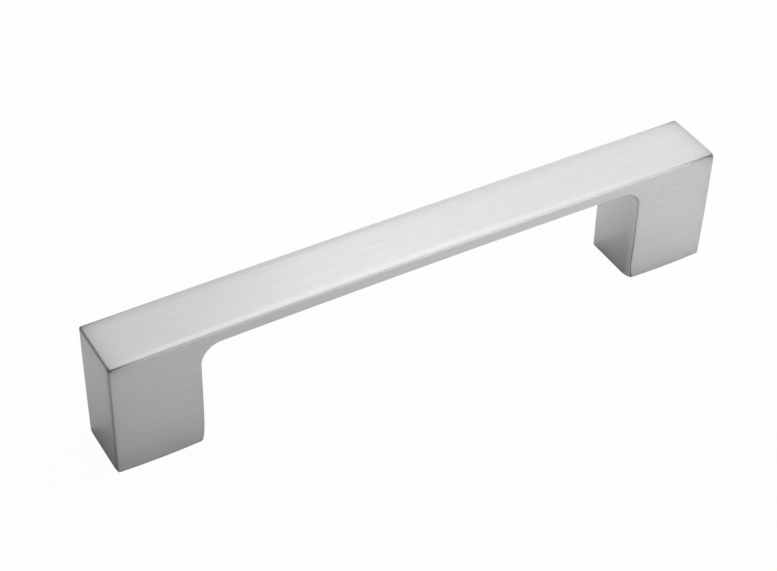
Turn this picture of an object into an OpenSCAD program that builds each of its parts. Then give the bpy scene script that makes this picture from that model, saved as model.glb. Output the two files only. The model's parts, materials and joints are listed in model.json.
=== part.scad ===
// Aluminium pull handle for a drawer or a cupboard door, cast in one piece and
// brushed. A screw comes through the door from behind into each foot.
//
// Origin: midway between the feet, on the plane of their bases. X runs along
// the grip, Y runs across it, and Z points away from the door. Millimetres.

/* [Fixing] */
// Distance between the centres of the two screw holes
hole_spacing = 128; // [96:32:192]
// Core diameter of the tapped hole in each foot
hole_d = 3.3; // [2.5:0.1:4.2]
// Depth of the tapped hole, from the foot's base to the end of its full bore
hole_depth = 12; // [6:1:16]
// Width of the 45 degree countersink round the mouth of each hole
mouth_chamfer = 0.5; // [0.2:0.1:1]
// Point angle of the drill that leaves the cone at the end of each hole
drill_point = 118; // [90:1:140]

/* [Feet] */
// Length of each foot along the handle
foot_l = 20.2; // [14:0.2:30]
// Distance from the door to the top of the handle at its two ends
projection = 29; // [24:0.5:40]
// How far brushing has drawn in both ends of a foot's sides at the base, which
// leaves the sides crowned there
foot_crown = 0.3; // [0:0.05:0.5]

/* [Grip] */
// Width of the handle at its two ends
width = 15; // [10:0.5:20]
// How far each side draws in at mid-length
waist = 0.15; // [0:0.05:1]
// How far the top rises at mid-length above its two ends
arch = 0.4; // [0:0.1:2]
// Thickness of the grip at mid-length
grip_t = 3.15; // [2.5:0.05:5]
// Thickness that the grip gains on its way from mid-length to its two ends
grip_swell = 0.25; // [0:0.05:1]

/* [Edges] */
// Radius of the fillet where the grip's underside runs down into each foot
fillet_r = 4.5; // [2:0.1:8]
// Radius that brushing leaves along the long edges and the feet's outer edges
edge_r = 0.4; // [0.2:0.05:0.5]
// Radius of the edge across each end of the top
end_edge_r = 0.6; // [0.6:0.1:1.5]
// Radius of the front upright edge on the inner side of each foot, below the fillet
inner_edge_r = 0.8; // [0.4:0.1:1.2]
// Radius of the same edge at the foot's base, where it is brushed rounder
base_edge_r = 1.8; // [1.2:0.1:3]

/* [Hidden] */

// Length of the whole handle, and half of it
length = hole_spacing + foot_l;
half_l = length / 2;
// Distance from mid-length to the inner face of each foot
inner_x = half_l - foot_l;
// Which way the front and the back of the handle lie along Y
front = -1;
back = 1;
// Steps along the foot, up the end above the fillet, round its edge, along the
// top above the fillet, and along the grip to mid-length
foot_steps = 8;
end_steps = 4;
end_edge_steps = 6;
over_steps = 6;
grip_steps = 10;
// Steps from the first to the last angle of the fillet
fillet_steps = end_steps + end_edge_steps + over_steps;
// Steps round each long edge, and across each side between its two edges
rim_steps = 5;
side_steps = 4;
// Metal left below the base, which facing the feet flat takes off
facing = 1;
// How far a cutter stands clear of what it cuts
clear = 1;
// Sides of each drilled hole
hole_sides = 64;

// How near x is to the end of the handle: 0 at mid-length, 1 at either end
function nearness(x) = pow(x / half_l, 2);
// Height of the top and of the grip's underside at x
function top_z(x) = projection + arch * (1 - nearness(x));
function under_z(x) = top_z(x) - grip_t - grip_swell * nearness(x);
// Fall of the top and of the underside on the way out, in degrees, at x
function top_fall(x) = atan(2 * arch * x / pow(half_l, 2));
function under_fall(x) = atan(2 * (arch + grip_swell) * x / pow(half_l, 2));
// Eases from 0 to 1 with no kink at either end
function ease(t) = t * t * (3 - 2 * t);
function between(a, b, t) = a + (b - a) * t;

// Edge across the end of the top: its centre and its last angle
end_edge_deg = 90 - top_fall(half_l - end_edge_r);
end_edge_c = [
    half_l - end_edge_r,
    top_z(half_l - end_edge_r + end_edge_r * cos(end_edge_deg)) - end_edge_r * sin(end_edge_deg)
];
// Fillet: its centre and its last angle
fillet_deg = 90 - under_fall(inner_x - fillet_r);
fillet_c = [
    inner_x - fillet_r,
    under_z(inner_x - fillet_r + fillet_r * cos(fillet_deg)) - fillet_r * sin(fillet_deg)
];
// Where the fillet runs out into the underside
fillet_end_x = fillet_c[0] + fillet_r * cos(fillet_deg);

// How near z is to the base: 0 at the fillet and above, 1 at the base
function lowness(z) = pow(max(0, 1 - z / fillet_c[1]), 3);
// How near x is to either end of its foot: 0 at the foot's middle, 1 at its ends
function foot_end(x) = pow((abs(x) - hole_spacing / 2) / (foot_l / 2), 2);
// Half the width at x and z
function side_y(x, z) =
    width / 2 - waist * (1 - nearness(x)) - foot_crown * lowness(z) * foot_end(x);
// Radius of the front inner edge at z, and at a share t of the way round the fillet
function upright_rim(z) = between(inner_edge_r, base_edge_r, lowness(z));
function fillet_rim(t) = between(inner_edge_r, edge_r, ease(t));
// Points and outward angles round the two rounded corners of the side outline
function end_edge_at(a) = [end_edge_c + end_edge_r * [cos(a), sin(a)], a];
function fillet_at(a) = [fillet_c + fillet_r * [cos(a), sin(a)], a + 180];

// A line across the metal: point and outward angle on the outer side, the same
// on the inner side, and the radius of the front inner edge
function line_across(outer, inner, front_r) = [outer[0], outer[1], inner[0], inner[1], front_r];

// Lines up the right foot, level with each other
foot_lines = [
    for (i = [0 : foot_steps - 1])
        let (z = between(-facing, fillet_c[1], i / foot_steps))
        line_across([[half_l, z], 0], [[inner_x, z], 180], upright_rim(z))
];
// Outer ends of the lines that turn from the foot into the grip
outer_turn = [
    for (i = [0 : end_steps - 1])
        [[half_l, between(fillet_c[1], end_edge_c[1], i / end_steps)], 0],
    for (i = [0 : end_edge_steps - 1])
        end_edge_at(end_edge_deg * i / end_edge_steps),
    for (i = [0 : over_steps])
        let (x = between(end_edge_at(end_edge_deg)[0][0], fillet_end_x, i / over_steps))
        [[x, top_z(x)], 90 - top_fall(x)]
];
turn_lines = [
    for (i = [0 : fillet_steps])
        let (t = i / fillet_steps)
        line_across(outer_turn[i], fillet_at(fillet_deg * t), fillet_rim(t))
];
// Lines across the grip, from the fillet to mid-length
grip_lines = [
    for (i = [1 : grip_steps])
        let (x = between(fillet_end_x, 0, i / grip_steps))
        line_across([[x, top_z(x)], 90 - top_fall(x)], [[x, under_z(x)], 270 - under_fall(x)], edge_r)
];
right_lines = concat(foot_lines, turn_lines, grip_lines);

// The same line on the other side of mid-length
function mirrored(l) =
    [[-l[0][0], l[0][1]], 180 - l[1], [-l[2][0], l[2][1]], 180 - l[3], l[4]];
last_right = len(right_lines) - 1;
lines = concat(right_lines, [for (i = [1 : last_right]) mirrored(right_lines[last_right - i])]);

// Quarter turn of radius r from the face at p, whose outward angle is given,
// to the side face on one side of the handle
function rim(p, outward, r, side) = [
    for (k = [0 : rim_steps])
        let (
            a = 90 * k / rim_steps,
            inset = r * (1 - cos(a)),
            x = p[0] - inset * cos(outward),
            z = p[1] - inset * sin(outward)
        )
        [x, side * (side_y(x, z) - r * (1 - sin(a))), z]
];
// Where such a turn of radius r ends, seen from the side
function rim_end(p, outward, r) = p - r * [cos(outward), sin(outward)];
// Points across the side face, from the outer edge to the inner one
function across(l, inner_r, side) =
    let (outer = rim_end(l[0], l[1], edge_r), inner = rim_end(l[2], l[3], inner_r))
    [
        for (i = [1 : side_steps - 1])
            let (p = between(outer, inner, i / side_steps))
            [p[0], side * side_y(p[0], p[1]), p[1]]
    ];
function reversed(v) = [for (i = [len(v) - 1 : -1 : 0]) v[i]];
// Closed section of the handle on one line, with crowned sides and four rounded corners
function section(l) = concat(
    rim(l[0], l[1], edge_r, back),
    across(l, edge_r, back),
    reversed(rim(l[2], l[3], edge_r, back)),
    rim(l[2], l[3], l[4], front),
    reversed(across(l, l[4], front)),
    reversed(rim(l[0], l[1], edge_r, front))
);

// Solid through a list of closed sections with equal numbers of points
module loft(sections) {
    n = len(sections[0]);
    last = len(sections) - 1;
    skin = [
        for (i = [0 : last - 1], j = [0 : n - 1])
            let (a = i * n + j, b = i * n + (j + 1) % n)
            each [[a, b + n, b], [a, a + n, b + n]]
    ];
    first_cap = [for (j = [0 : n - 1]) j];
    last_cap = [for (j = [n - 1 : -1 : 0]) last * n + j];
    polyhedron(points = [for (s = sections) each s], faces = concat([first_cap, last_cap], skin));
}

// Tapped hole as drilled and countersunk, cut upward from the base at z = 0
module screw_hole() {
    r = hole_d / 2;
    mouth_r = r + mouth_chamfer;
    translate([0, 0, -clear])
        cylinder(r = r, h = hole_depth + clear, $fn = hole_sides);
    translate([0, 0, hole_depth])
        cylinder(r1 = r, r2 = 0, h = r / tan(drill_point / 2), $fn = hole_sides);
    translate([0, 0, -clear])
        cylinder(r1 = mouth_r + clear, r2 = r, h = mouth_chamfer + clear, $fn = hole_sides);
}

module pull_handle() {
    color("silver")
    difference() {
        loft([for (l = lines) section(l)]);
        // Both feet are faced flat at z = 0
        translate([-length, -width, -facing - clear])
            cube([2 * length, 2 * width, facing + clear]);
        for (side = [-1, 1])
            translate([side * hole_spacing / 2, 0, 0])
                screw_hole();
    }
}

pull_handle();
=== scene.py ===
import json
import math

import bmesh
import bpy
import numpy as np
from mathutils import Matrix, Vector


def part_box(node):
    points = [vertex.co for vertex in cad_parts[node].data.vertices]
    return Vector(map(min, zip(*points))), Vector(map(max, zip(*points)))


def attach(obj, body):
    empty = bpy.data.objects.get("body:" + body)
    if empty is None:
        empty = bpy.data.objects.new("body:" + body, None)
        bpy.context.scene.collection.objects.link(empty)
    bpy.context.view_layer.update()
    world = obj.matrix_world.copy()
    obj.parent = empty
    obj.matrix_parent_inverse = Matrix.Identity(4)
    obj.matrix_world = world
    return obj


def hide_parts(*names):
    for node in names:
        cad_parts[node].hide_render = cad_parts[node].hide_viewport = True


# A brushed aluminium pull handle stands on its two feet on a pale studio floor. All is in
# metres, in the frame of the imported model: X along the grip, Y across it, Z up.
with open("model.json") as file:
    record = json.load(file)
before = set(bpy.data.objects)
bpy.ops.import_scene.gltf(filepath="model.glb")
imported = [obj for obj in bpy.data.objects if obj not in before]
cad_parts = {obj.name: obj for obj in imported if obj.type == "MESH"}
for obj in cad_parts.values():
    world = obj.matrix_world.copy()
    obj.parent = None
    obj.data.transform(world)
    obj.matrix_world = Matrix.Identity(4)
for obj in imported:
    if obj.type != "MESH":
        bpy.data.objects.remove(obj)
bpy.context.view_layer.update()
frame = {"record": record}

# The handle, a grip with a foot at each end
# It is one solid piece of aluminium, brushed by hand. Brushing rounds its edges and
# leaves every face a little crowned, most of all near the door.
mm = 0.001
piece_name = "pull_handle_brushed"
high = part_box("pull_handle")[1]
tapped_holes = [m for m in frame["record"]["mounts"] if m["kind"] == "threaded_hole"]
half_l = high.x
screw_x = max(m["pos_m"][0] for m in tapped_holes)
half_foot = half_l - screw_x
inner_x = screw_x - half_foot
half_width = 7.5 * mm
waist = 0.15 * mm
arch = 0.4 * mm
grip_t = 3.15 * mm
grip_swell = 0.25 * mm
foot_crown = 0.3 * mm
foot_crown_power = 3
fillet_r = 4.5 * mm
end_edge_r = 0.6 * mm
# Rounded edges: how far each runs back across the brushed face, and how far the face has
# dropped by the side; in front, at the back, on a foot's inner side, and there at its base
edge_reach = 2.2 * mm
edge_drop = 0.4 * mm
back_edge_reach = 1.8 * mm
back_edge_drop = 0.25 * mm
inner_edge_reach = 2.4 * mm
inner_edge_drop = 0.35 * mm
base_edge_reach = 2.5 * mm
base_edge_drop = 1.3 * mm
base_edge_power = 4
# Shade painted into the metal's colour: 0 is plain metal, 1 the darkest painted shade, and
# below 0 painted highlight; the metal is also smoother where darker and rougher where lighter.
# First the lines in the edges, each at its turn in degrees from the brushed face toward the side.
# Painted shade in dark lines along the upright edges and by the corners, painted highlight in a light line
# along the top's front edge, and a dark line along a foot's inner front edge
upright_line = 0.3
upright_line_turn = 50
top_front_line_left = -0.6
top_front_line_right = -0.1
top_front_line_from_x = 15 * mm
top_front_line_to_x = 58 * mm
top_back_line = 0.03
top_line_turn = 74
front_corner_line = 0.25
back_corner_line = 0.39
corner_power = 5
line_spread = 16
inner_line = 0.85
inner_line_turn = 76
inner_line_spread = 9
inner_line_start_z = 26 * mm
inner_line_full_z = 12 * mm
# Painted shade on the faces of the outline, painted highlight where below 0: in its rounded
# corners, beside the front and back edges, beside the rounded corners, and by the base
end_edge_painted_shade = 0.3
upright_front_band = 0.2
inner_front_shade = 0.28
inner_front_band = -0.95
top_back_band = 0.35
band_power = 6
end_top_band = 0.14
top_end_band = 0.32
end_band_width = 1.8 * mm
end_base_band = 0.3
inner_base_band = 0.03
base_band_height = 4 * mm
# Painted shade on the side faces, painted highlight where below 0: along the grip, on the feet,
# at the feet's ends, in their upper corners, and by the base
grip_side_painted_shade = -0.09
foot_side_painted_shade = 0.06
foot_rim_painted_shade = 0.1
foot_rim_power = 12
side_corner_painted_shade = 0.8
side_corner_power = 9
side_corner_width = 0.9 * mm
side_base_band = 0.18
# Steps up a foot, up its end, round the end's edge, over its top, along half the grip,
# round a long edge, and across a face and a side
foot_steps = 40
end_steps = 10
end_edge_steps = 10
over_steps = 24
grip_steps = 60
rim_steps = 16
face_steps = 10
side_steps = 16
# Distance over which a slope is measured
slope_step = 0.01 * mm
front = -1
back = 1


def nearness(x):
    """How near x is to the end of the handle: 0 at mid-length, 1 at either end."""
    return (x / half_l) ** 2


def top_z(x):
    return high.z - arch * nearness(x)


def under_z(x):
    return top_z(x) - grip_t - grip_swell * nearness(x)


def top_fall(x):
    """Angle by which the arched top falls away at x."""
    return np.arctan(2 * arch * x / half_l**2)


def under_fall(x):
    """Angle by which the grip's underside falls away at x."""
    return np.arctan(2 * (arch + grip_swell) * x / half_l**2)


def polar(angle):
    return np.array([np.cos(angle), np.sin(angle)])


# Rounded corners of the outline: the angle through which each turns, and where it starts and ends
end_edge_last = math.pi / 2 - top_fall(half_l - end_edge_r)
end_edge_end_x = half_l - end_edge_r + end_edge_r * math.cos(end_edge_last)
end_edge_z = top_z(end_edge_end_x) - end_edge_r * math.sin(end_edge_last)
fillet_last = math.pi / 2 - under_fall(inner_x - fillet_r)
fillet_end_x = inner_x - fillet_r + fillet_r * math.cos(fillet_last)
fillet_z = under_z(fillet_end_x) - fillet_r * math.sin(fillet_last)


def lowness(z):
    """How near z is to the base: 0 at the fillet and above, 1 at the base."""
    return np.maximum(0, 1 - z / fillet_z) ** foot_crown_power


def side_y(x, z):
    """Half the width at x and z."""
    foot_end = ((np.abs(x) - screw_x) / half_foot) ** 2
    return half_width - waist * (1 - nearness(x)) - foot_crown * lowness(z) * foot_end


def blend(start, end, share):
    return start + (end - start) * share


def ease(t):
    """Smooth step from 0 to 1."""
    return t * t * (3 - 2 * t)


def outline():
    """Lines across the metal, from the right foot's base to the left one's, one in each column: x, z and
    outward angle on the outer side, the same on the inner side, and the inner front edge's reach and drop."""
    rows = []
    for z in np.linspace(0, fillet_z, foot_steps, endpoint=False):
        near_base = lowness(z) ** base_edge_power
        reach = blend(inner_edge_reach, base_edge_reach, near_base)
        drop = blend(inner_edge_drop, base_edge_drop, near_base)
        rows.append([half_l, z, 0, inner_x, z, math.pi, reach, drop])
    over_fillet = [[half_l, z, 0] for z in np.linspace(fillet_z, end_edge_z, end_steps, endpoint=False)]
    for angle in np.linspace(0, end_edge_last, end_edge_steps, endpoint=False):
        x, z = (half_l - end_edge_r, end_edge_z) + end_edge_r * polar(angle)
        over_fillet.append([x, z, angle])
    for x in np.linspace(end_edge_end_x, fillet_end_x, over_steps + 1):
        over_fillet.append([x, top_z(x), math.pi / 2 - top_fall(x)])
    for i, outer in enumerate(over_fillet):
        share = i / (len(over_fillet) - 1)
        angle = fillet_last * share
        x, z = (inner_x - fillet_r, fillet_z) + fillet_r * polar(angle)
        reach = blend(inner_edge_reach, edge_reach, ease(share))
        drop = blend(inner_edge_drop, edge_drop, ease(share))
        rows.append([*outer, x, z, angle + math.pi, reach, drop])
    for x in np.linspace(fillet_end_x, 0, grip_steps + 1)[1:]:
        upper = [x, top_z(x), math.pi / 2 - top_fall(x)]
        lower = [x, under_z(x), 1.5 * math.pi - under_fall(x)]
        rows.append([*upper, *lower, edge_reach, edge_drop])
    right = np.array(rows)
    # The left half is the right one mirrored, from mid-length on
    left = right[-2::-1] * [-1, 1, -1, -1, 1, -1, 1, 1] + [0, 0, math.pi, 0, 0, math.pi, 0, 0]
    return np.concatenate([right, left]).T


def joined(x, y, z):
    return np.stack(np.broadcast_arrays(x, y, z), axis=-1)


def unit(v):
    return v / np.linalg.norm(v, axis=-1, keepdims=True)


def side_normal(x, z, side):
    """Outward direction of the side face at x and z."""
    slope_x = (side_y(x + slope_step, z) - side_y(x - slope_step, z)) / (2 * slope_step)
    slope_z = (side_y(x, z + slope_step) - side_y(x, z - slope_step)) / (2 * slope_step)
    return unit(joined(-slope_x, side, -slope_z))


def by_base(z):
    """How near z is to the base, within the height of the band there."""
    return np.exp(-z / base_band_height)


def by_corner(distance):
    """How near a point is to the end's rounded corner, within the width of the bands beside it."""
    return np.exp(-distance / end_band_width)


def side_painted_shade(x, z):
    """Painted shade on a side face: lighter along the grip, darker toward the ends of the handle and by the
    base, darkest in their upper corners.
    """
    outward = np.clip((np.abs(x) - screw_x) / half_foot, 0, 1)
    by_top = np.exp(-np.maximum(0, top_z(x) - z) / side_corner_width)
    return (
        grip_side_painted_shade * (1 - nearness(x)) ** 2
        + side_base_band * by_base(z)
        + foot_side_painted_shade * outward**2
        + foot_rim_painted_shade * outward**foot_rim_power
        + side_corner_painted_shade * nearness(x) ** side_corner_power * by_top
    )


def face_painted_shade(y, bands):
    """Painted shade across a face of the outline, lighter where below 0: the same all over, with a soft band
    toward either edge.
    """
    all_over, front_shade, front_band, back_band = (v[:, None] for v in np.broadcast_arrays(*bands))
    share = np.abs(y / half_width)
    forward = front_shade * share**2 + front_band * share**band_power
    return all_over + np.where(y < 0, forward, back_band * share**band_power)


class Edge:
    """Rounded edge between a face of the outline and the side face at the front or the back."""

    def __init__(self, place, shape, side, bands, line):
        rows = np.broadcast_arrays(*place, *shape, *line)
        self.x, self.z, outward, reach, drop, line_painted_shade, line_turn, spread = (v[:, None] for v in rows)
        self.side = side
        self.face_normal = joined(np.cos(outward), 0, np.sin(outward))
        turn = np.linspace(0, math.pi / 2, rim_steps + 1)[None]
        inset = drop * (1 - np.cos(turn))
        x = self.x - inset * np.cos(outward)
        z = self.z - inset * np.sin(outward)
        y = side * (side_y(x, z) - reach * (1 - np.sin(turn)))
        self.points = joined(x, y, z)
        facing = (reach * np.cos(turn))[..., None] * self.face_normal
        sideways = (drop * np.sin(turn))[..., None] * side_normal(x, z, side)
        off = (np.degrees(turn) - line_turn) / spread
        # Painted shade: that of the face and of the side, blended round the edge, with a line at its turn
        painted_shade = face_painted_shade(y, bands) * np.cos(turn) ** 2 + side_painted_shade(x, z) * np.sin(turn) ** 2
        self.strip = self.points, unit(facing + sideways), painted_shade + line_painted_shade * np.exp(-(off**2))


def face_between(first, last, bands):
    """Points, normals and painted shade across a face of the outline, from one rounded edge to the other."""
    share = np.linspace(0, 1, face_steps + 1)[1:-1]
    y = blend(first.points[:, :1, 1], last.points[:, :1, 1], share)
    normals = np.broadcast_to(first.face_normal, (*y.shape, 3))
    return joined(first.x, y, first.z), normals, face_painted_shade(y, bands)


def side_between(outer, inner):
    """Points, normals and painted shade across a side face, from its outer edge to its inner one."""
    share = np.linspace(0, 1, side_steps + 1)[1:-1]
    path = blend(outer.points[:, -1:], inner.points[:, -1:], share[None, :, None])
    x, z = path[..., 0], path[..., 2]
    points = joined(x, outer.side * side_y(x, z), z)
    return points, side_normal(x, z, outer.side), side_painted_shade(x, z)


def backwards(strip):
    return [part[:, ::-1] for part in strip]


lines = outline()
outer_place = outer_x, outer_z, outer_angle = lines[:3]
inner_place = _, inner_side_z, inner_angle = lines[3:6]
front_shape = edge_reach, edge_drop
back_shape = back_edge_reach, back_edge_drop
inner_front_shape = lines[6:]
# How far each line's outer and inner faces stand upright, as the feet's do, or lie level
upright = np.cos(outer_angle) ** 2
level = 1 - upright
inner_upright = np.cos(inner_angle) ** 2
near_corner = nearness(outer_x) ** corner_power
rightward = (outer_x - top_front_line_from_x) / (top_front_line_to_x - top_front_line_from_x)
along_top = blend(top_front_line_left, top_front_line_right, ease(np.clip(rightward, 0, 1)))
line_turn = blend(top_line_turn, upright_line_turn, upright)
front_line = blend(blend(along_top, front_corner_line, near_corner), upright_line, upright)
back_line = blend(blend(top_back_line, back_corner_line, near_corner), upright_line, upright)
inner_rise = (inner_line_start_z - inner_side_z) / (inner_line_start_z - inner_line_full_z)
# Painted shade on the outer faces: in the rounded corners, in bands beside them, and by the base
outer_painted_shade = (
    end_edge_painted_shade * np.sin(2 * outer_angle) ** 2
    + end_top_band * upright * by_corner(np.maximum(0, end_edge_z - outer_z))
    + top_end_band * level * by_corner(half_l - np.abs(outer_x))
    + end_base_band * upright * by_base(outer_z)
)
outer_bands = outer_painted_shade, 0, upright_front_band * upright, top_back_band * level
inner_bands = (
    inner_base_band * inner_upright * by_base(inner_side_z),
    inner_front_shade * inner_upright,
    inner_front_band * inner_upright,
    0,
)
outer_back = Edge(outer_place, back_shape, back, outer_bands, (back_line, line_turn, line_spread))
outer_front = Edge(outer_place, front_shape, front, outer_bands, (front_line, line_turn, line_spread))
inner_back = Edge(inner_place, back_shape, back, inner_bands, (0, line_turn, line_spread))
inner_front_line = inner_line * np.clip(inner_rise, 0, 1), inner_line_turn, inner_line_spread
inner_front = Edge(inner_place, inner_front_shape, front, inner_bands, inner_front_line)
strips = [
    outer_back.strip,
    side_between(outer_back, inner_back),
    backwards(inner_back.strip),
    face_between(inner_back, inner_front, inner_bands),
    inner_front.strip,
    backwards(side_between(outer_front, inner_front)),
    backwards(outer_front.strip),
    face_between(outer_front, outer_back, outer_bands),
]
loft_points, loft_normals, loft_painted_shade = (np.concatenate(parts, axis=1) for parts in zip(*strips))


class Skin:
    """Points, normals, painted shade and faces of the handle's mesh, as they are put together."""

    def __init__(self):
        self.points = np.zeros((0, 3))
        self.normals = np.zeros((0, 3))
        self.painted_shade = np.zeros(0)
        self.faces = []
        self.flat = []

    def add(self, points, normals, painted_shade):
        self.points = np.concatenate([self.points, points.reshape(-1, 3)])
        self.normals = np.concatenate([self.normals, normals.reshape(-1, 3)])
        self.painted_shade = np.concatenate([self.painted_shade, painted_shade.reshape(-1)])

    def grid(self, points, normals, painted_shade):
        """Adds a closed band of quads, one row of points after the other, and returns its point numbers."""
        height, columns = points.shape[:2]
        numbers = np.arange(height * columns).reshape(height, columns) + len(self.points)
        self.add(points, normals, painted_shade)
        around = np.roll(numbers, -1, axis=1)
        quads = np.stack([numbers[:-1], around[:-1], around[1:], numbers[1:]], axis=-1)
        self.faces += quads.reshape(-1, 4).tolist()
        return numbers

    def fill(self, outside, inside, normal):
        """Fills the flat ring between two closed loops of points."""
        sheet = bmesh.new()
        numbers = [*outside, *inside]
        corners = [sheet.verts.new(self.points[n]) for n in numbers]
        sheet.verts.index_update()
        edges = []
        for loop in (corners[: len(outside)], corners[len(outside) :]):
            for a, b in zip(loop, loop[1:] + loop[:1]):
                edges.append(sheet.edges.new((a, b)))
        bmesh.ops.triangle_fill(sheet, use_beauty=True, edges=edges, normal=normal)
        for face in sheet.faces:
            self.flat.append(len(self.faces))
            turned = face.normal.dot(Vector(normal)) < 0
            ring = [numbers[v.index] for v in face.verts]
            self.faces.append(ring[::-1] if turned else ring)
        sheet.free()


skin = Skin()
body = skin.grid(loft_points, loft_normals, loft_painted_shade)

# The tapped holes, one up into each foot
# Each is drilled blind, countersunk at its mouth and tapped M4 for the screw that
# comes through the door. The tap leaves the last turns shallow.
hole_r = tapped_holes[0]["dims"]["r_mm"] * mm
thread_r = 2.0 * mm
pitch = 0.7 * mm
hole_depth = 12 * mm
thread_depth = 10.5 * mm
mouth_chamfer = 0.5 * mm
runout = 2 * pitch
drill_point = math.radians(118)
flank = math.radians(30)
root_flat = pitch / 8
hole_columns = 64
rows_per_turn = 12
bevel_rows = 5
down = (0, 0, -1)


def hole_radius(angle, z):
    """Radius of the tapped wall at an angle round the hole and a height above the base."""
    turns = z / pitch - angle / (2 * math.pi)
    from_root = np.abs(turns - np.round(turns)) * pitch
    cut = thread_r - hole_r - np.maximum(0, from_root - root_flat / 2) / math.tan(flank)
    fade = np.clip((thread_depth - z) / runout, 0, 1)
    tapped = hole_r + np.maximum(0, cut - (thread_r - hole_r) * (1 - fade))
    return np.maximum(tapped, hole_r + mouth_chamfer - z)


def bore(centre_x):
    """Points, normals and painted shade, none here, up a tapped hole, from its mouth to the start of its
    drilled cone.
    """
    turns = hole_depth / pitch
    levels = np.concatenate([
        np.linspace(0, mouth_chamfer, bevel_rows, endpoint=False),
        np.linspace(mouth_chamfer, hole_depth, int(turns * rows_per_turn)),
    ])
    angle = np.linspace(0, 2 * math.pi, hole_columns, endpoint=False)[None]
    z = levels[:, None]
    twist = slope_step / hole_r
    r = hole_radius(angle, z)
    slope_z = (hole_radius(angle, z + slope_step) - hole_radius(angle, z - slope_step)) / (2 * slope_step)
    slope_a = (hole_radius(angle + twist, z) - hole_radius(angle - twist, z)) / (2 * twist * r)
    c, s = np.cos(angle), np.sin(angle)
    points = joined(centre_x + r * c, r * s, z)
    normals = unit(joined(-c - slope_a * s, -s + slope_a * c, slope_z))
    return points, normals, np.zeros(r.shape)


def close_cone(skin, rim, centre_x):
    """Closes a hole's end with the cone that the drill's point leaves."""
    apex = len(skin.points)
    top = hole_depth + hole_r / math.tan(drill_point / 2)
    skin.add(np.array([centre_x, 0, top]), np.array(down), np.zeros(1))
    for a, b in zip(rim, np.roll(rim, -1)):
        skin.faces.append([int(a), int(b), apex])


# The loft's first row of points runs round the right foot's base, its last round the left one's
for foot_x, base_loop in ((screw_x, body[0][::-1]), (-screw_x, body[-1])):
    wall = skin.grid(*bore(foot_x))
    close_cone(skin, wall[-1], foot_x)
    skin.fill(base_loop.tolist(), wall[0].tolist(), down)

mesh = bpy.data.meshes.new(piece_name)
mesh.from_pydata(skin.points.tolist(), [], skin.faces)
mesh.update()
mesh.shade_smooth()
flat_faces = set(skin.flat)
corner_normals = []
for number, corners in enumerate(skin.faces):
    corner_normals += [down if number in flat_faces else tuple(skin.normals[c]) for c in corners]
mesh.normals_split_custom_set(corner_normals)
# Shade and highlight painted into the metal's colour, kept on each point of the mesh
painted_shade = mesh.attributes.new("painted_shade", "FLOAT", "POINT")
painted_shade.data.foreach_set("value", skin.painted_shade)
handle = bpy.data.objects.new(piece_name, mesh)
bpy.context.scene.collection.objects.link(handle)


# Brushed aluminium
# The strokes run along the grip and the feet's sides, up and down the faces that
# turn away from it, and aslant across the thin sides of the grip.
class Socket:
    """A node's output. Arithmetic on it adds the Math nodes that it needs."""

    def __init__(self, tree, socket):
        self.tree = tree
        self.socket = socket

    def math(self, operation, *values):
        return self.tree.node("ShaderNodeMath", {"operation": operation}, dict(enumerate(values)))

    def __add__(self, other):
        return self.math("ADD", self, other)

    __radd__ = __add__

    def __sub__(self, other):
        return self.math("SUBTRACT", self, other)

    def __rsub__(self, other):
        return self.math("SUBTRACT", other, self)

    def __mul__(self, other):
        return self.math("MULTIPLY", self, other)

    __rmul__ = __mul__

    def __abs__(self):
        return self.math("ABSOLUTE", self)


class Tree:
    """The node tree of a material or of the world."""

    def __init__(self, owner):
        owner.use_nodes = True
        self.nodes = owner.node_tree.nodes
        self.links = owner.node_tree.links
        self.nodes.clear()

    def node(self, kind, settings=None, inputs=None, output=0):
        """Adds a node: its settings first, then the values or links of its sockets."""
        node = self.nodes.new(kind)
        for name, value in (settings or {}).items():
            setattr(node, name, value)
        for name, value in (inputs or {}).items():
            if isinstance(value, Socket):
                self.links.new(value.socket, node.inputs[name])
            else:
                node.inputs[name].default_value = value
        return Socket(self, node.outputs[output]) if len(node.outputs) else None


bare_metal = (0.9, 0.9, 0.9, 1)
# Dark colour toward which the metal's grain and its painted shade both mix
grain_and_painted_shade_metal = (0.16, 0.16, 0.16, 1)
metal_roughness = 0.27
# Size of a stroke along and across its run, and of the cloudy patches, with their depths
stroke_length = 22 * mm
stroke_width = 0.4 * mm
stroke_depth = 0.0001 * mm
patch_size = 3.2 * mm
patch_depth = 0.008 * mm
# Strokes on the grip's thin sides: how long, how far they lean, and how strong beside the others
thin_side_stroke_length = stroke_length / 3
slant = 0.45
thin_side_strength = 0.5
# Film all over, how much strokes and patches change it, and what painted shade and strokes do to roughness
base_film = 0.09
stroke_film = 0.1
patch_film = 0.06
painted_shade_roughness = -0.25
stroke_roughness = 0.012
# Noise: its finer layers, how strong they are, and its middle value
stroke_detail = 1.0
patch_detail = 2.0
noise_roughness = 0.5
noise_middle = 0.5
# A point belongs to the faces that look along an axis as its normal's share of that axis rises
faces_from = 0.5
faces_to = 0.8
# Sockets of a Mix node that mixes colours
mix_share = 0
mix_first = 6
mix_second = 7
mix_result = 2


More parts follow.
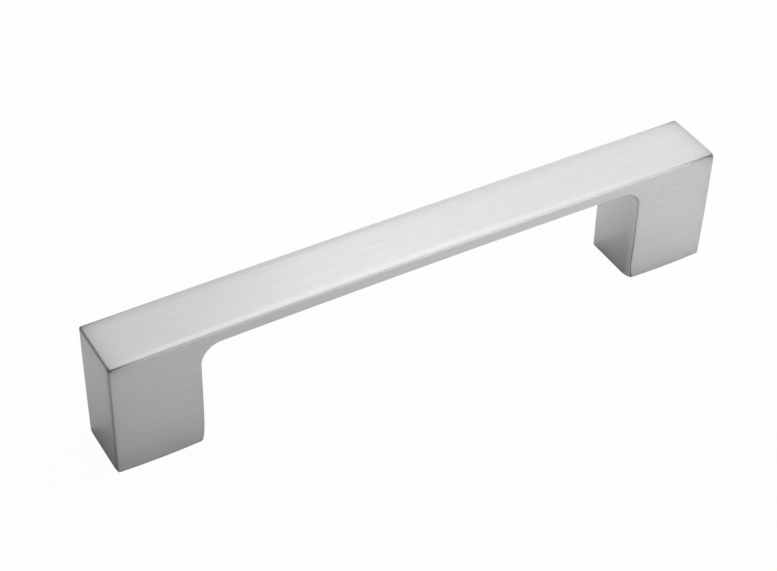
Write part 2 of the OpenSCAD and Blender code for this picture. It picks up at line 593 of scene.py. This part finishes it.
class Brushing:
    """Stroke patterns of the metal, from the place and the facing of each point."""

    def __init__(self, tree):
        self.tree = tree
        self.place = tree.node("ShaderNodeTexCoord", output="Object")
        self.facing = tree.node("ShaderNodeNewGeometry", output="Normal")

    def part(self, vector, axis):
        return self.tree.node("ShaderNodeSeparateXYZ", inputs={"Vector": vector}, output=axis)

    def noise(self, spot, scale, detail):
        return self.tree.node(
            "ShaderNodeTexNoise",
            {"noise_dimensions": "3D"},
            {"Vector": spot, "Scale": scale, "Detail": detail, "Roughness": noise_roughness},
            "Fac",
        )

    def strokes(self, x, y, z):
        """Noise drawn out along the direction in which its coordinate is divided by a stroke's length."""
        spot = self.tree.node("ShaderNodeCombineXYZ", inputs={"X": x, "Y": y, "Z": z})
        return self.noise(spot, 1.0, stroke_detail)

    def patches(self):
        return self.noise(self.place, 1 / patch_size, patch_detail)

    def ramp(self, value, start, end):
        """Goes from 0 at the value start to 1 at the value end, with no kink at either."""
        return self.tree.node(
            "ShaderNodeMapRange",
            {"interpolation_type": "SMOOTHSTEP"},
            {"Value": value, "From Min": start, "From Max": end},
        )

    def pattern(self):
        """Strokes of all faces in one value: along the grip, up the ends, and aslant on the thin sides."""
        x, y, z = (self.part(self.place, axis) for axis in "XYZ")
        facing_x, facing_y = (self.part(self.facing, axis) for axis in "XY")
        along, across = 1 / stroke_length, 1 / stroke_width
        lengthwise = self.strokes(x * along, y * across, z * across)
        upward = self.strokes(x * across, y * across, z * along)
        leaning = self.strokes((x + z * slant) * across, y * across, z * (1 / thin_side_stroke_length))
        aslant = (leaning - noise_middle) * thin_side_strength + noise_middle
        on_ends = self.ramp(abs(facing_x), faces_from, faces_to)
        on_grip = self.ramp(abs(x), inner_x + fillet_r / 2, inner_x - fillet_r)
        on_thin_side = self.ramp(abs(facing_y), faces_from, faces_to) * on_grip
        return (
            lengthwise * (1 - on_ends) * (1 - on_thin_side)
            + upward * on_ends
            + aslant * on_thin_side * (1 - on_ends)
        )


aluminium = bpy.data.materials.new("brushed_aluminium")
metal_tree = Tree(aluminium)
brushing = Brushing(metal_tree)
strokes = brushing.pattern()
patches = brushing.patches()
# Shade and highlight painted on the mesh, which darken or lighten the metal's colour
painted_shade_attribute = metal_tree.node("ShaderNodeAttribute", {"attribute_name": "painted_shade"}, output="Fac")
stroke_change = strokes - noise_middle
# The metal's colour: its own tone and grain, plus the painted shade and highlight
grain_and_painted_shade_share = painted_shade_attribute + base_film + stroke_change * stroke_film + (patches - noise_middle) * patch_film
colour = metal_tree.node(
    "ShaderNodeMix",
    {"data_type": "RGBA", "clamp_factor": True},
    {mix_share: grain_and_painted_shade_share, mix_first: bare_metal, mix_second: grain_and_painted_shade_metal},
    mix_result,
)
relief = metal_tree.node(
    "ShaderNodeBump",
    inputs={"Height": strokes * stroke_depth + patches * patch_depth, "Distance": 1.0, "Strength": 1.0},
)
roughness = stroke_change * stroke_roughness + painted_shade_attribute * painted_shade_roughness + metal_roughness
surface = metal_tree.node(
    "ShaderNodeBsdfPrincipled",
    inputs={"Base Color": colour, "Metallic": 1.0, "Roughness": roughness, "Normal": relief},
)
metal_tree.node("ShaderNodeOutputMaterial", inputs={"Surface": surface})
mesh.materials.append(aluminium)
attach(handle, "root")
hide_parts("pull_handle")

# The studio floor
# It is a matt pale sheet that the camera sees almost white, with the handle's soft
# shadow. The metal reflects only a little of that white, so that its tones stay.
floor_size = 6.0
floor_grey = (0.8, 0.8, 0.8, 1)
white = (1, 1, 1, 1)
floor_white_seen = 0.97
floor_white_in_metal = 0.02
ray_kinds = "Is Camera Ray", "Is Glossy Ray", "Is Transmission Ray"


def white_share(tree, seen_share, metal_share):
    """How far the plain white shows: one share to the camera, another in reflections and glass."""
    seen, mirrored, through = (tree.node("ShaderNodeLightPath", output=kind) for kind in ray_kinds)
    return seen * seen_share + (mirrored + through) * metal_share


floor_mesh = bpy.data.meshes.new("studio_floor")
floor_shape = bmesh.new()
bmesh.ops.create_grid(floor_shape, x_segments=1, y_segments=1, size=floor_size / 2)
floor_shape.to_mesh(floor_mesh)
floor_shape.free()
floor = bpy.data.objects.new("studio_floor", floor_mesh)
bpy.context.scene.collection.objects.link(floor)
floor_paint = bpy.data.materials.new("studio_floor")
floor_tree = Tree(floor_paint)
paint = floor_tree.node("ShaderNodeBsdfDiffuse", inputs={"Color": floor_grey})
plain_white = floor_tree.node("ShaderNodeEmission", inputs={"Color": white, "Strength": 1.0})
floor_white = white_share(floor_tree, floor_white_seen, floor_white_in_metal)
floor_look = floor_tree.node("ShaderNodeMixShader", inputs={0: floor_white, 1: paint, 2: plain_white})
floor_tree.node("ShaderNodeOutputMaterial", inputs={"Surface": floor_look})
floor_mesh.materials.append(floor_paint)

# The studio lights
# A strong softbox at the right throws the feet's soft shadows to the left. A broad one in
# front and two weak ones, high behind on the right and behind on the left, fill the rest.
light_centre = Vector((0, 0, 15 * mm))
softbox_distance = 500 * mm


def toward(azimuth, elevation):
    """Direction at an azimuth from +X toward +Y and an elevation, in degrees."""
    turn, rise = math.radians(azimuth), math.radians(elevation)
    return Vector((math.cos(turn) * math.cos(rise), math.sin(turn) * math.cos(rise), math.sin(rise)))


def softbox(name, azimuth, elevation, size, watts):
    """Square area lamp that faces the handle."""
    away = toward(azimuth, elevation)
    lamp = bpy.data.lights.new(name, "AREA")
    lamp.shape = "SQUARE"
    lamp.size = size
    lamp.energy = watts
    box = bpy.data.objects.new(name, lamp)
    facing_handle = away.to_track_quat("Z", "Y").to_matrix().to_4x4()
    box.matrix_world = Matrix.Translation(light_centre + away * softbox_distance) @ facing_handle
    bpy.context.scene.collection.objects.link(box)


softbox("softbox_above", azimuth=45, elevation=60, size=0.3, watts=0.12)
softbox("softbox_right", azimuth=-5, elevation=28, size=0.22, watts=1.4)
softbox("fill_front", azimuth=-62, elevation=29, size=0.55, watts=0.62)
softbox("fill_left", azimuth=135, elevation=42, size=0.6, watts=0.22)

# The room round the softboxes
# It is dim, with two broad glows behind the handle on the right, which its top reflects.
# The camera sees the room white, and the metal reflects only a little of that white.
room_dim = 0.12
room_white_seen = 1.0
room_white_in_metal = 0.06
world = bpy.data.worlds.new("studio")
bpy.context.scene.world = world
room_tree = Tree(world)


def glow(tree, azimuth, elevation, sharpness, strength):
    """Brightness of the room round one direction, falling away smoothly on all sides."""
    looking = tree.node("ShaderNodeTexCoord", output="Generated")
    nearby = tree.node(
        "ShaderNodeVectorMath",
        {"operation": "DOT_PRODUCT"},
        {0: looking, 1: toward(azimuth, elevation)},
        "Value",
    )
    return tree.node("ShaderNodeMath", {"operation": "EXPONENT"}, {0: (nearby - 1) * sharpness}) * strength


high_glow = glow(room_tree, azimuth=54, elevation=42, sharpness=9, strength=0.43)
low_glow = glow(room_tree, azimuth=48, elevation=4, sharpness=5, strength=0.74)
room_light = high_glow + low_glow + room_dim
room = room_tree.node("ShaderNodeBackground", inputs={"Color": white, "Strength": room_light})
backdrop = room_tree.node("ShaderNodeBackground", inputs={"Color": white, "Strength": 1.0})
room_white = white_share(room_tree, room_white_seen, room_white_in_metal)
room_look = room_tree.node("ShaderNodeMixShader", inputs={0: room_white, 1: room, 2: backdrop})
room_tree.node("ShaderNodeOutputWorld", inputs={"Surface": room_look})

# The camera, where the photograph was taken from
# It looks down on the handle from the front left through a long lens, rolled slightly.
aim = Vector((-4.53, 2.84, 14.5)) * mm
camera_distance = 420 * mm
camera_azimuth = math.radians(-30.94)
camera_elevation = math.radians(41.10)
camera_roll = math.radians(1.62)
lens_mm = 89.28
sensor_mm = 36
nearest_seen = 10 * mm
away = Vector((
    math.sin(camera_azimuth) * math.cos(camera_elevation),
    -math.cos(camera_azimuth) * math.cos(camera_elevation),
    math.sin(camera_elevation),
))
lens = bpy.data.cameras.new("camera")
lens.lens = lens_mm
lens.sensor_width = sensor_mm
lens.clip_start = nearest_seen
camera = bpy.data.objects.new("camera", lens)
looking_down = (-away).to_track_quat("-Z", "Y").to_matrix().to_4x4()
rolled = Matrix.Rotation(camera_roll, 4, "Z")
camera.matrix_world = Matrix.Translation(aim + away * camera_distance) @ looking_down @ rolled
bpy.context.scene.collection.objects.link(camera)
bpy.context.scene.camera = camera
bpy.context.scene.view_settings.view_transform = "Standard"
